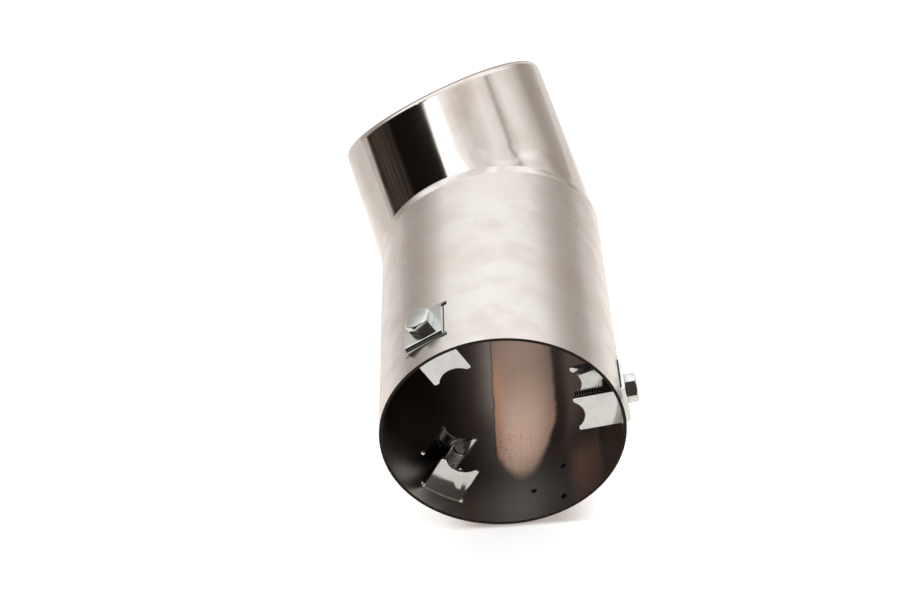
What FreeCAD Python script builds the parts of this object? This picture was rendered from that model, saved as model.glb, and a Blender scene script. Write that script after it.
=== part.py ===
import FreeCAD, Part
import Sketcher
import os

# Exhaust tip: a straight inlet sleeve, a mitred outlet sleeve with a slanted, rolled-in rim, the weld bead
# between them, and three bolt-on clamps that grip a tail pipe pushed into the inlet.
#
# Frame: the origin is the centre of the inlet mouth, on the axis of the inlet sleeve. +Y runs along that
# axis into the sleeve, +X is to the right seen from the mouth, and +Z is up. Angles round the axis are
# measured from +X towards +Z. The clamps lean a little: their bolts pass beside that axis. The tip lies on
# the bottom line of its inlet sleeve, with the head of the low clamp's bolt just clear of the ground.

Vector = FreeCAD.Vector

# Lengths in millimetres, angles in degrees.
DIMENSIONS = [
    ("sleeve_dia", 76.0, "outer diameter of both sleeves"),
    ("sleeve_wall", 1.0, "sheet thickness of both sleeves"),
    ("inlet_length", 99.0, "mouth to mitre, along the axis"),
    ("outlet_length", 59.0, "mitre to rim plane, along the axis"),
    ("bend_angle", 32.0, "turn of the axis at the mitre"),
    ("bend_azimuth", 118.0, "side that the outlet turns to"),
    ("rim_slant", 21.0, "rim plane off square"),
    ("rim_roll", 3.5, "outer radius of the rolled-in edge"),
    ("rim_land", 0.4, "flat at the front of the rolled edge"),
    ("weld_gap", 0.8, "gap between the sleeves, filled by the bead"),
    ("bead_radius", 0.8, "round section of the bead"),
    ("clamp_setback", 15.4, "mouth to the axes of the clamp bolts"),
    ("azimuth_right", 7.8, "direction of the right clamp's bolt"),
    ("azimuth_top", 118.7, "direction of the top clamp's bolt"),
    ("azimuth_low", 239.3, "direction of the low clamp's bolt"),
    ("shift_right", 3.5, "right bolt beside the sleeve's axis"),
    ("shift_top", -3.1, "top bolt beside the sleeve's axis"),
    ("shift_low", 3.0, "low bolt beside the sleeve's axis"),
    ("plate_standoff", 0.2, "gap from the sleeve to the bracket's plate"),
    ("bracket_span", 15.8, "bracket over its two legs, along the sleeve"),
    ("bracket_width", 13.2, "width of the bracket's strip"),
    ("bracket_reach", 16.4, "outer face of the plate to the leg tips"),
    ("strip_thickness", 1.0, "bracket strip"),
    ("bend_inner", 0.6, "inner radius of the bracket's bends"),
    ("notch_radius", 6.0, "arc in the end of each leg"),
    ("notch_depth", 2.7, "depth of that arc behind the leg tips"),
    ("horn_round", 0.45, "rounding of the leg tips"),
    ("slot_side_gap", 0.45, "slot wider than the strip, each side"),
    ("slot_end_gap", 1.1, "slot longer than the strip is wide, each end"),
    ("bolt_dia", 5.0, "outer diameter of the thread"),
    ("bolt_length", 16.0, "bolt under its head"),
    ("tip_chamfer", 0.6, "chamfer on the free end of the bolt"),
    ("head_across", 8.0, "bolt head across its flats"),
    ("head_height", 3.5, "bolt head"),
    ("head_face", 7.6, "diameter of the head's round top face"),
    ("head_turn_right", 23.0, "corner of the right head off square"),
    ("head_turn_top", 17.0, "corner of the top head off square"),
    ("head_turn_low", 30.0, "corner of the low head off square"),
    ("corner_slope", 30.0, "chamfer on the corners of head and nut"),
    ("nut_across", 8.0, "nut across its flats"),
    ("nut_height", 4.0, "nut"),
    ("nut_face", 7.6, "diameter of the nut's round faces"),
    ("nut_seat_gap", 0.05, "nearest corner of the nut to the wall"),
    ("thread_clearance", 0.05, "radial, bolt in nut"),
    ("plate_hole_gap", 0.3, "radial, bolt in the bracket"),
    ("wall_hole_gap", 0.6, "radial, bolt in the sleeve"),
]

CLAMPS = ("right", "top", "low")

# Places worked out from the driving dimensions, as expressions.
OUTER = "(Dims.sleeve_dia / 2)"
INNER = "(Dims.sleeve_dia / 2 - Dims.sleeve_wall)"
MIDWALL = "(Dims.sleeve_dia / 2 - Dims.sleeve_wall / 2)"
HALF_BEND = "(Dims.bend_angle / 2)"
HALF_GAP = "(Dims.weld_gap / 2 / cos(%s))" % HALF_BEND
ROLL_CENTRE = "(Dims.sleeve_dia / 2 - Dims.rim_roll)"
CLEAR = "(Dims.sleeve_dia)"
PLATE_INSIDE = "(Dims.sleeve_dia / 2 + Dims.plate_standoff)"
PLATE_OUTSIDE = "(Dims.sleeve_dia / 2 + Dims.plate_standoff + Dims.strip_thickness)"
LEG_TIP = "(%s - Dims.bracket_reach)" % PLATE_OUTSIDE
NUT_CORNER = "(Dims.nut_across / sqrt(3))"

# Turns about the X, Y and Z axes and a place with a turn, as expressions.
TURN_X = "create(<<rotation>>; create(<<vector>>; 1; 0; 0); %s)"
TURN_Y = "create(<<rotation>>; create(<<vector>>; 0; 1; 0); %s)"
TURN_Z = "create(<<rotation>>; create(<<vector>>; 0; 0; 1); %s)"
PLACE = "create(<<placement>>; create(<<vector>>; %s; %s; %s); %s)"
TURNED = PLACE % ("0", "0", "0", TURN_Y)
LIFTED = PLACE % ("0", "0", "%s", TURN_Y % "0")

# A piece drawn along Z, with the outlet's bend towards X, is laid along Y and turned to the bend's side.
ALONG_SLEEVE = TURN_X % "-90" + " * " + TURN_Z % "-Dims.bend_azimuth"
ALONG_OUTLET = ALONG_SLEEVE + " * " + TURN_Y % "Dims.bend_angle"
ALONG_MITRE = ALONG_SLEEVE + " * " + TURN_Y % HALF_BEND


def make_sheet(doc):
    """Write the driving dimensions into the sheet, one row each, with an alias."""
    sheet = doc.addObject("Spreadsheet::Sheet", "Dims")
    for row, (alias, value, note) in enumerate(DIMENSIONS, start=1):
        sheet.set("A%d" % row, alias)
        sheet.set("B%d" % row, str(value))
        sheet.set("C%d" % row, note)
        sheet.setAlias("B%d" % row, alias)
    doc.recompute()
    return sheet


def number(owner, expression):
    """The present value of an expression."""
    value = owner.evalExpression(expression)
    return float(getattr(value, "Value", value))


def new_body(doc, name):
    """An empty body whose label is its name."""
    body = doc.addObject("PartDesign::Body", name)
    body.Label = name
    return body


def new_sketch(body, name, role, place=None):
    """A sketch on one of the body's origin planes, or at a place given from that plane."""
    plane = next(item for item in body.Origin.OriginFeatures if item.Role == role)
    sketch = body.newObject("Sketcher::SketchObject", name)
    sketch.AttachmentSupport = [(plane, "")]
    sketch.MapMode = "FlatFace"
    if place:
        sketch.setExpression("AttachmentOffset", place)
    return sketch


def on_clamp(clamp, along="0", turn="0"):
    """A place on a clamp's bolt, with Z outwards and Y along the sleeve, as an expression."""
    azimuth = "Dims.azimuth_" + clamp
    shift = "Dims.shift_" + clamp
    across = "(%s * sin(%s))" % (shift, azimuth)
    up = "(-%s * cos(%s))" % (shift, azimuth)
    rotation = TURN_Y % ("90 - " + azimuth) + " * " + TURN_Z % turn
    return PLACE % (across, along, up, rotation)


def dimension(sketch, name, constraint, expression):
    """Add a named dimension to a sketch and tie it to the sheet."""
    index = sketch.addConstraint(constraint)
    sketch.renameConstraint(index, name)
    sketch.setExpression("Constraints." + name, expression)


def draw_circle(sketch, name, radius, up="0"):
    """A circle on the sketch's upright line, at a height above the sketch's origin."""
    height = number(sketch, up)
    size = number(sketch, radius)
    circle = sketch.addGeometry(Part.Circle(Vector(0, height, 0), Vector(0, 0, 1), size))
    sketch.addConstraint(Sketcher.Constraint("PointOnObject", circle, 3, -2))
    dimension(sketch, name + "_up", Sketcher.Constraint("DistanceY", -1, 1, circle, 3, height), up)
    dimension(sketch, name + "_radius", Sketcher.Constraint("Radius", circle, size), radius)


def draw_outline(sketch, name, corners):
    """A closed outline of straight lines, each corner given as two expressions."""
    points = [Vector(number(sketch, across), number(sketch, up), 0) for across, up in corners]
    lines = []
    for start, end in zip(points, points[1:] + points[:1]):
        lines.append(sketch.addGeometry(Part.LineSegment(start, end)))
    for line, following in zip(lines, lines[1:] + lines[:1]):
        sketch.addConstraint(Sketcher.Constraint("Coincident", line, 2, following, 1))
    for order, (line, point, (across, up)) in enumerate(zip(lines, points, corners)):
        corner = "%s_%d" % (name, order)
        dimension(sketch, corner + "_x", Sketcher.Constraint("DistanceX", -1, 1, line, 1, point.x), across)
        dimension(sketch, corner + "_y", Sketcher.Constraint("DistanceY", -1, 1, line, 1, point.y), up)


def draw_rectangle(sketch, name, half_width, low, high):
    """A rectangle centred on the sketch's upright line."""
    left = "-" + half_width
    draw_outline(sketch, name, [(left, low), (half_width, low), (half_width, high), (left, high)])


def draw_hexagon(sketch, name, across_flats):
    """A regular hexagon round the sketch's origin, with a corner on its level line."""
    corner = "%s / sqrt(3)" % across_flats
    corners = []
    for angle in range(0, 360, 60):
        corners.append(("%s * cos(%d)" % (corner, angle), "%s * sin(%d)" % (corner, angle)))
    draw_outline(sketch, name, corners)


def pad(body, sketch, length, middle=False, backwards=False):
    """Raise a sketch into a solid."""
    feature = body.newObject("PartDesign::Pad", sketch.Name + "_pad")
    feature.Profile = sketch
    feature.Midplane = middle
    feature.Reversed = backwards
    feature.setExpression("Length", length)
    return feature


def pocket(body, sketch, length, middle=False, backwards=False):
    """Cut a sketch out of the solid."""
    feature = body.newObject("PartDesign::Pocket", sketch.Name + "_cut")
    feature.Profile = sketch
    feature.Midplane = middle
    feature.Reversed = backwards
    feature.setExpression("Length", length)
    return feature


def groove(body, sketch):
    """Cut a sketch out of the solid all round the sketch's upright line."""
    feature = body.newObject("PartDesign::Groove", sketch.Name + "_cut")
    feature.Profile = sketch
    feature.ReferenceAxis = (sketch, ["V_Axis"])
    feature.Angle = 360.0
    return feature


def dress_edges(body, kind, name, prop, size, wanted):
    """Fillet or chamfer the edges of the body's last feature that a test picks."""
    body.Document.recompute()
    base = body.Tip
    names = ["Edge%d" % (i + 1) for i, edge in enumerate(base.Shape.Edges) if wanted(edge)]
    feature = body.newObject("PartDesign::" + kind, name)
    feature.Base = (base, names)
    feature.setExpression(prop, size)
    return feature


def lies_along(edge, axis):
    """Whether an edge is straight and runs along an axis."""
    if not isinstance(edge.Curve, Part.Line):
        return False
    return abs(edge.tangentAt(edge.FirstParameter).dot(axis)) > 0.999


def chamfer_hexagon(body, name, face_dia, across_flats, face, outwards):
    """Turn the corners of a hexagon down to a cone that meets its end face in a circle."""
    sketch = new_sketch(body, name, "XZ_Plane")
    rim = "%s / 2" % face_dia
    beyond = across_flats
    slope = "tan(Dims.corner_slope)"
    drop = "(%s - %s) * %s" % (beyond, rim, slope)
    foot = "%s %s %s" % (face, "-" if outwards else "+", drop)
    draw_outline(sketch, "cone", [(rim, face), (beyond, face), (beyond, foot)])
    return groove(body, sketch)


def make_inlet_sleeve(doc):
    """The straight sleeve: rolled tube, mitred far end, two leg slots and a bolt hole for each clamp."""
    body = new_body(doc, "inlet_sleeve")
    ring = new_sketch(body, "mouth_ring", "XZ_Plane")
    draw_circle(ring, "outer", OUTER)
    draw_circle(ring, "inner", INNER)
    pad(body, ring, "Dims.inlet_length + " + CLEAR, backwards=True)

    mitre = new_sketch(body, "inlet_mitre", "XY_Plane", TURNED % "-Dims.bend_azimuth")
    middle = "(Dims.inlet_length - %s)" % HALF_GAP
    rise = "%s * tan(%s)" % (CLEAR, HALF_BEND)
    far = "(Dims.inlet_length + 3 * %s)" % CLEAR
    corners = [
        ("-" + CLEAR, middle + " + " + rise), (CLEAR, middle + " - " + rise),
        (CLEAR, far), ("-" + CLEAR, far),
    ]
    draw_outline(mitre, "beyond", corners)
    pocket(body, mitre, "2 * " + CLEAR, middle=True)

    half_slot = "(Dims.bracket_width / 2 + Dims.slot_end_gap)"
    for clamp in CLAMPS:
        cuts = new_sketch(body, "openings_" + clamp, "XY_Plane", on_clamp(clamp))
        for leg, side in (("front", "-"), ("rear", "+")):
            strip = "(Dims.clamp_setback %s (Dims.bracket_span - Dims.strip_thickness) / 2)" % side
            reach = "(Dims.strip_thickness / 2 + Dims.slot_side_gap)"
            draw_rectangle(cuts, leg, half_slot, strip + " - " + reach, strip + " + " + reach)
        draw_circle(cuts, "hole", "Dims.bolt_dia / 2 + Dims.wall_hole_gap", up="Dims.clamp_setback")
        pocket(body, cuts, CLEAR, backwards=True)
    return body


def make_blank(doc, name, radius, rim_plane, mitre_plane, edge_radius):
    """A solid outlet: a round bar cut to the mitre and the slanted rim, its rim edge rounded."""
    body = new_body(doc, name)
    disc = new_sketch(body, name + "_disc", "XY_Plane")
    draw_circle(disc, "round", radius)
    pad(body, disc, "2 * (Dims.outlet_length + %s)" % CLEAR, middle=True)

    ends = new_sketch(body, name + "_ends", "XZ_Plane")
    far = "(Dims.outlet_length + 2 * %s)" % CLEAR
    fall = "%s * tan(Dims.rim_slant)" % CLEAR
    corners = [
        ("-" + CLEAR, rim_plane + " + " + fall), (CLEAR, rim_plane + " - " + fall),
        (CLEAR, far), ("-" + CLEAR, far),
    ]
    draw_outline(ends, "past_rim", corners)
    rise = "%s * tan(%s)" % (CLEAR, HALF_BEND)
    back = "-" + far
    corners = [
        ("-" + CLEAR, mitre_plane + " - " + rise), (CLEAR, mitre_plane + " + " + rise),
        (CLEAR, back), ("-" + CLEAR, back),
    ]
    draw_outline(ends, "past_mitre", corners)
    pocket(body, ends, "2 * " + CLEAR, middle=True)

    level = number(disc, "Dims.outlet_length / 2")
    dress_edges(
        body, "Fillet", name + "_edge", "Radius", edge_radius,
        lambda edge: edge.CenterOfMass.z > level and not isinstance(edge.Curve, Part.Line),
    )
    return body


def make_ring(doc, name, line, radius, section_place):
    """A ring of round section that follows an ellipse; the section stands at the ellipse's start."""
    section = doc.addObject("Part::Circle", name + "_section")
    section.setExpression("Radius", radius)
    section.setExpression("Placement", section_place)
    ring = doc.addObject("Part::Sweep", name)
    ring.Sections = [section]
    ring.Spine = (line, ["Edge1"])
    ring.Solid = True
    ring.Frenet = False
    return ring


def join(doc, kind, name, base, tool):
    """A boolean of two objects, with its faces left as they were cut."""
    result = doc.addObject("Part::" + kind, name)
    result.Base = base
    result.Tool = tool
    result.Refine = False
    return result


def make_outlet_sleeve(doc):
    """The outlet sleeve: mitred tube whose slanted rim is rolled in half a turn."""
    rim_plane = "Dims.outlet_length"
    wall_back = "Dims.sleeve_wall / cos(Dims.rim_slant)"
    outside = make_blank(doc, "outlet_outside", OUTER, rim_plane, HALF_GAP, "Dims.rim_roll")
    inside = make_blank(
        doc, "outlet_inside", INNER, "(%s - %s)" % (rim_plane, wall_back),
        "(%s - %s / 4)" % (HALF_GAP, CLEAR), "Dims.rim_roll - Dims.sleeve_wall",
    )
    shell = join(doc, "Cut", "outlet_shell", outside, inside)

    centre = "(Dims.outlet_length - Dims.rim_roll / cos(Dims.rim_slant))"
    half_wide = "(%s - Dims.rim_land)" % ROLL_CENTRE
    half_long = "(%s / cos(Dims.rim_slant) - Dims.rim_land)" % ROLL_CENTRE
    line = doc.addObject("Part::Ellipse", "roll_line")
    line.setExpression("MajorRadius", half_long)
    line.setExpression("MinorRadius", half_wide)
    line.setExpression("Placement", PLACE % ("0", "0", centre, TURN_Y % "Dims.rim_slant"))

    core = doc.addObject("Part::Extrusion", "rim_core")
    core.Base = line
    core.DirMode = "Normal"
    core.Solid = True
    core.setExpression("LengthFwd", "2 * Dims.rim_roll")

    across = "%s * cos(Dims.rim_slant)" % half_long
    level = "%s - %s * sin(Dims.rim_slant)" % (centre, half_long)
    at_start = PLACE % (across, "0", level, TURN_Y % "Dims.rim_slant" + " * " + TURN_X % "90")
    outer_ring = make_ring(doc, "roll_outside", line, "Dims.rim_roll", at_start)
    inner_ring = make_ring(doc, "roll_inside", line, "Dims.rim_roll - Dims.sleeve_wall", at_start)
    skin = join(doc, "Cut", "roll_skin", outer_ring, inner_ring)
    curl = join(doc, "Common", "rim_curl", skin, core)
    lip = join(doc, "Cut", "outlet_lip", shell, core)
    sleeve = join(doc, "Fuse", "outlet_sleeve", lip, curl)
    sleeve.Label = "outlet_sleeve"
    sleeve.setExpression("Placement", PLACE % ("0", "Dims.inlet_length", "0", ALONG_OUTLET))
    return sleeve


def make_mitre_weld(doc, inlet, outlet):
    """The bead: a round ring on the mitre's middle line, less the two sleeves that it joins."""
    half_long = "(%s / cos(%s))" % (MIDWALL, HALF_BEND)
    line = doc.addObject("Part::Ellipse", "mitre_line")
    line.setExpression("MajorRadius", half_long)
    line.setExpression("MinorRadius", MIDWALL)
    at_start = PLACE % (half_long, "0", "0", TURN_X % "90")
    ring = make_ring(doc, "bead_ring", line, "Dims.bead_radius", at_start)
    ring.setExpression("Placement", PLACE % ("0", "Dims.inlet_length", "0", ALONG_MITRE))
    beside = join(doc, "Cut", "bead_beside_inlet", ring, inlet)
    weld = join(doc, "Cut", "mitre_weld", beside, outlet)
    weld.Label = "mitre_weld"
    return weld


def place_on_clamp(body, clamp, turn="0"):
    """Put a clamp's piece on its side of the sleeve: drawn with Z outwards and Y along the sleeve."""
    body.setExpression("Placement", on_clamp(clamp, "Dims.clamp_setback", turn))


def make_bracket(doc, clamp):
    """The bracket: a strip bent to a U, with a hole in its plate and an arc cut in the end of each leg."""
    body = new_body(doc, "clamp_bracket_" + clamp)
    section = new_sketch(body, "strip_" + clamp, "YZ_Plane")
    outer = "(Dims.bracket_span / 2)"
    inner = "(Dims.bracket_span / 2 - Dims.strip_thickness)"
    corners = [
        ("-" + outer, LEG_TIP), ("-" + outer, PLATE_OUTSIDE), (outer, PLATE_OUTSIDE), (outer, LEG_TIP),
        (inner, LEG_TIP), (inner, PLATE_INSIDE), ("-" + inner, PLATE_INSIDE), ("-" + inner, LEG_TIP),
    ]
    draw_outline(section, "strip", corners)
    pad(body, section, "Dims.bracket_width", middle=True)

    across = Vector(1, 0, 0)
    along = Vector(0, 1, 0)
    top = number(section, PLATE_OUTSIDE)
    under = number(section, PLATE_INSIDE)
    tip = number(section, LEG_TIP)
    half_inner = number(section, inner)

    def outer_bend(edge):
        return lies_along(edge, across) and abs(edge.CenterOfMass.z - top) < 0.01

    def inner_bend(edge):
        middle = edge.CenterOfMass
        in_corner = abs(middle.z - under) < 0.01 and abs(abs(middle.y) - half_inner) < 0.01
        return lies_along(edge, across) and in_corner

    def horn_corner(edge):
        return lies_along(edge, along) and abs(edge.CenterOfMass.z - tip) < 0.01

    bend_outer = "Dims.bend_inner + Dims.strip_thickness"
    dress_edges(body, "Fillet", "outer_bends_" + clamp, "Radius", bend_outer, outer_bend)
    dress_edges(body, "Fillet", "inner_bends_" + clamp, "Radius", "Dims.bend_inner", inner_bend)

    notch = new_sketch(body, "notch_" + clamp, "XZ_Plane")
    draw_circle(notch, "arc", "Dims.notch_radius", up="%s + Dims.notch_depth - Dims.notch_radius" % LEG_TIP)
    pocket(body, notch, "2 * Dims.bracket_span", middle=True)
    dress_edges(body, "Fillet", "horns_" + clamp, "Radius", "Dims.horn_round", horn_corner)

    hole = new_sketch(body, "plate_hole_" + clamp, "XY_Plane")
    draw_circle(hole, "hole", "Dims.bolt_dia / 2 + Dims.plate_hole_gap")
    pocket(body, hole, CLEAR, backwards=True)
    place_on_clamp(body, clamp)
    return body


def make_bolt(doc, clamp):
    """The hexagon bolt: its head lies on the bracket's plate and its plain shank stands for the thread."""
    body = new_body(doc, "clamp_bolt_" + clamp)
    head = new_sketch(body, "head_" + clamp, "XY_Plane", LIFTED % PLATE_OUTSIDE)
    draw_hexagon(head, "hexagon", "Dims.head_across")
    pad(body, head, "Dims.head_height")
    face = "(%s + Dims.head_height)" % PLATE_OUTSIDE
    chamfer_hexagon(body, "head_cone_" + clamp, "Dims.head_face", "Dims.head_across", face, True)

    shank = new_sketch(body, "shank_" + clamp, "XY_Plane", LIFTED % PLATE_OUTSIDE)
    draw_circle(shank, "round", "Dims.bolt_dia / 2")
    pad(body, shank, "Dims.bolt_length", backwards=True)
    free_end = number(shank, "%s - Dims.bolt_length" % PLATE_OUTSIDE)
    dress_edges(
        body, "Chamfer", "tip_" + clamp, "Size", "Dims.tip_chamfer",
        lambda edge: edge.Closed and abs(edge.CenterOfMass.z - free_end) < 0.01,
    )
    place_on_clamp(body, clamp, turn="Dims.head_turn_" + clamp)
    return body


def make_nut(doc, clamp):
    """The nut: a corner sits against the wall inside the sleeve, and the bolt turns in it."""
    body = new_body(doc, "clamp_nut_" + clamp)
    corner = "(abs(Dims.shift_%s) + %s)" % (clamp, NUT_CORNER)
    outside = "(sqrt(%s ^ 2 - %s ^ 2) - Dims.nut_seat_gap)" % (INNER, corner)
    inside = "(%s - Dims.nut_height)" % outside
    outline = new_sketch(body, "nut_" + clamp, "XY_Plane", LIFTED % inside)
    draw_hexagon(outline, "hexagon", "Dims.nut_across")
    draw_circle(outline, "bore", "Dims.bolt_dia / 2 + Dims.thread_clearance")
    pad(body, outline, "Dims.nut_height")
    chamfer_hexagon(body, "nut_cone_in_" + clamp, "Dims.nut_face", "Dims.nut_across", inside, False)
    chamfer_hexagon(body, "nut_cone_out_" + clamp, "Dims.nut_face", "Dims.nut_across", outside, True)
    place_on_clamp(body, clamp)
    return body


def check(doc, pieces):
    """Stop if an object failed or a piece isn't one good solid."""
    for item in doc.Objects:
        if "Invalid" in item.State or "Error" in item.State:
            raise RuntimeError("%s failed: %s" % (item.Name, item.State))
    for piece in pieces:
        shape = piece.Shape
        if shape.isNull() or not shape.isValid() or len(shape.Solids) != 1:
            raise RuntimeError("%s is not one good solid" % piece.Label)


def main():
    """Build the document and write one file for each piece."""
    doc = FreeCAD.newDocument("exhaust_tip")
    make_sheet(doc)
    inlet = make_inlet_sleeve(doc)
    outlet = make_outlet_sleeve(doc)
    pieces = [inlet, outlet, make_mitre_weld(doc, inlet, outlet)]
    for clamp in CLAMPS:
        pieces += [make_bracket(doc, clamp), make_bolt(doc, clamp), make_nut(doc, clamp)]
    doc.recompute()
    check(doc, pieces)
    os.makedirs("parts", exist_ok=True)
    for piece in pieces:
        piece.Shape.exportStep("parts/%s.step" % piece.Label)
        box = piece.Shape.BoundBox
        print("%-24s %9.1f mm3  %s" % (piece.Label, piece.Shape.Volume, box))


main()
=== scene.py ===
"""A mitred exhaust tip with three bolted clamps, lying on a white table in soft studio light."""
import logging
import math
from dataclasses import dataclass, field
from enum import Enum
from typing import Any

import bmesh
import bpy
from mathutils import Euler, Matrix, Vector


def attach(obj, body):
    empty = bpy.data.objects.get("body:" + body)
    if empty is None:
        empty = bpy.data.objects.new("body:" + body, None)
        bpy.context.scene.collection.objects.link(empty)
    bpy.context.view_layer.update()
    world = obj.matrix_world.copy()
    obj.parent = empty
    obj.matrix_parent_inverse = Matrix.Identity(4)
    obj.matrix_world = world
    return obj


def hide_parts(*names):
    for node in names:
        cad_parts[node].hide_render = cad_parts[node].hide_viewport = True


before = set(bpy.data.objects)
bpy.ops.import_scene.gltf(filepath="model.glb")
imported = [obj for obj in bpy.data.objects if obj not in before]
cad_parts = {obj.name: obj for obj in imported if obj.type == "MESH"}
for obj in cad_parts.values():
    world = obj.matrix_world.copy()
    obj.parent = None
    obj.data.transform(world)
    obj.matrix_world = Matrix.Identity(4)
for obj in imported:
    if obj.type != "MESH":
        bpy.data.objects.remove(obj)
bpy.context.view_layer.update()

MM = 0.001
log = logging.getLogger("exhaust_tip")

Tree = bpy.types.NodeTree
Socket = bpy.types.NodeSocket
Values = dict[str, bpy.types.NodeSocket]

# Settings that several nodes share.
SUBTRACT = {"operation": "SUBTRACT"}
MULTIPLY = {"operation": "MULTIPLY"}
MULTIPLY_ADD = {"operation": "MULTIPLY_ADD"}
DISTANCE = {"operation": "DISTANCE"}
DOT_PRODUCT = {"operation": "DOT_PRODUCT"}
SMOOTH = {"interpolation_type": "SMOOTHSTEP"}
COLOURS = {"data_type": "RGBA"}
# Most of the noise lies between these two values.
NOISE_LOW = 0.3
NOISE_HIGH = 0.7
WHITE = "#FFFFFF"

# The tip's own sizes and places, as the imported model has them.
SLEEVE_RADIUS = 38.0 * MM
SLEEVE_WALL = 1.0 * MM
MID_WALL = SLEEVE_RADIUS - SLEEVE_WALL / 2.0
CLAMP_SETBACK = 15.4 * MM
MITRE_CENTRE = Vector((0.0, 99.0 * MM, 0.0))
BEND_ANGLE = math.radians(32.0)
BEND_SIDE = math.radians(118.0)
SIDEWAYS = Vector((math.cos(BEND_SIDE), 0.0, math.sin(BEND_SIDE)))
ALONG_INLET = Vector((0.0, 1.0, 0.0))
ALONG_OUTLET = ALONG_INLET * math.cos(BEND_ANGLE) + SIDEWAYS * math.sin(BEND_ANGLE)
MITRE_NORMAL = (ALONG_INLET + ALONG_OUTLET).normalized()

# Points this near are one, faces turned this little are one, and points this near a cut lie on it.
SAME_POINT = 0.002 * MM
SAME_PLANE = math.radians(0.5)
ON_THE_CUT = 0.001 * MM
# Edges that turn more than this are shaded sharp.
SHADED_SHARP = math.radians(20.0)


class ClampPlace(Enum):
    """The three clamps, which don't quite point at the inlet's axis."""

    RIGHT = ("right", 7.8, 3.5, 23.0)
    TOP = ("top", 118.7, -3.1, 17.0)
    LOW = ("low", 239.3, 3.0, 30.0)

    def __init__(self, label: str, direction: float, beside: float, head_angle: float) -> None:
        """Keep a clamp's name and place.

        Args:
            label: The clamp's name in its pieces' names.
            direction: The way its bolt points, in degrees from +X towards +Z.
            beside: How far its bolt passes beside the inlet's axis, in millimetres.
            head_angle: The turn of its bolt about its own axis, in degrees.
        """
        self.label = label
        self.direction = direction
        self.beside = beside
        self.head_angle = head_angle

    @property
    def placement(self) -> Matrix:
        """The clamp's own frame, with Z outwards through the wall and Y along the sleeve."""
        turn = Matrix.Rotation(math.radians(90.0 - self.direction), 4, "Y")
        beside = Matrix.Translation((self.beside * MM, 0.0, 0.0))
        return Matrix.Translation((0.0, CLAMP_SETBACK, 0.0)) @ turn @ beside

    @property
    def head_turn(self) -> Matrix:
        """The turn of the bolt about its own axis."""
        return Matrix.Rotation(math.radians(self.head_angle), 4, "Z")


class Sleeve(Enum):
    """The two tubes that a finish can be laid along."""

    INLET = "inlet"
    OUTLET = "outlet"


def linear(colour: str) -> tuple[float, float, float, float]:
    """Turn an sRGB hex colour to linear.

    Args:
        colour: Six hex digits after a hash sign.

    Returns:
        Red, green, blue and an alpha of 1.
    """
    parts = [int(colour[i:i + 2], 16) / 255.0 for i in (1, 3, 5)]
    red, green, blue = (p / 12.92 if p <= 0.04045 else ((p + 0.055) / 1.055) ** 2.4 for p in parts)
    return red, green, blue, 1.0


def add_node(
        tree: Tree, kind: str, settings: dict[str, Any] | None = None,
        sockets: dict[Any, Any] | None = None) -> bpy.types.Node:
    """Add a node with its settings and links.

    Args:
        tree: The tree that the node goes into.
        kind: The node's type name.
        settings: Properties of the node.
        sockets: Input names or numbers, each with a value or with the output to link.

    Returns:
        The node.
    """
    node = tree.nodes.new(kind)
    for name, value in (settings or {}).items():
        setattr(node, name, value)
    for name, value in (sockets or {}).items():
        if isinstance(value, Socket):
            tree.links.new(value, node.inputs[name])
        else:
            node.inputs[name].default_value = value
    return node


def new_material(name: str) -> tuple[bpy.types.Material, Tree]:
    """Make a node material with an empty tree.

    Args:
        name: The material's name.

    Returns:
        The material and its tree.
    """
    material = bpy.data.materials.new(name)
    material.use_nodes = True
    material.node_tree.nodes.clear()
    return material, material.node_tree


@dataclass(frozen=True)
class TubeCoordinates:
    """Where a point lies on a tube: metres round it, metres along it and metres from its axis."""

    tree: Tree
    sleeve: Sleeve

    def outputs(self) -> Values:
        """Build the coordinates from Object coordinates.

        Returns:
            The outputs point, x, z, around, along and radius.
        """
        tree = self.tree
        point = add_node(tree, "ShaderNodeTexCoord").outputs["Object"]
        if self.sleeve is Sleeve.OUTLET:
            pivot = ALONG_INLET.cross(SIDEWAYS)
            point = add_node(
                tree, "ShaderNodeVectorRotate", {"rotation_type": "AXIS_ANGLE"},
                {"Vector": point, "Center": MITRE_CENTRE, "Axis": pivot, "Angle": -BEND_ANGLE},
            ).outputs[0]
        split = add_node(tree, "ShaderNodeSeparateXYZ", sockets={0: point}).outputs
        turn = add_node(tree, "ShaderNodeMath", {"operation": "ARCTAN2"}, {0: split[0], 1: split[2]})
        around = add_node(tree, "ShaderNodeMath", MULTIPLY, {0: turn.outputs[0], 1: SLEEVE_RADIUS})
        flat = add_node(tree, "ShaderNodeCombineXYZ", sockets={0: split[0], 2: split[2]})
        radius = add_node(tree, "ShaderNodeVectorMath", {"operation": "LENGTH"}, {0: flat.outputs[0]})
        return {
            "point": point, "x": split[0], "z": split[2], "around": around.outputs[0],
            "along": split[1], "radius": radius.outputs["Value"],
        }


@dataclass(frozen=True)
class Fade:
    """How a tint fades in along one value of the surface: none of it at one end, all of it at the other.

    A place is in metres, and a pattern's value lies between 0 and 1. The full end may be the lower one.
    """

    value: str
    none: float
    full: float


@dataclass(frozen=True)
class Tint:
    """A tint on a finish: its colour, the fades that all have to let it through, and its strength."""

    colour: str
    fades: tuple[Fade, ...]
    strength: float = 1.0


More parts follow.
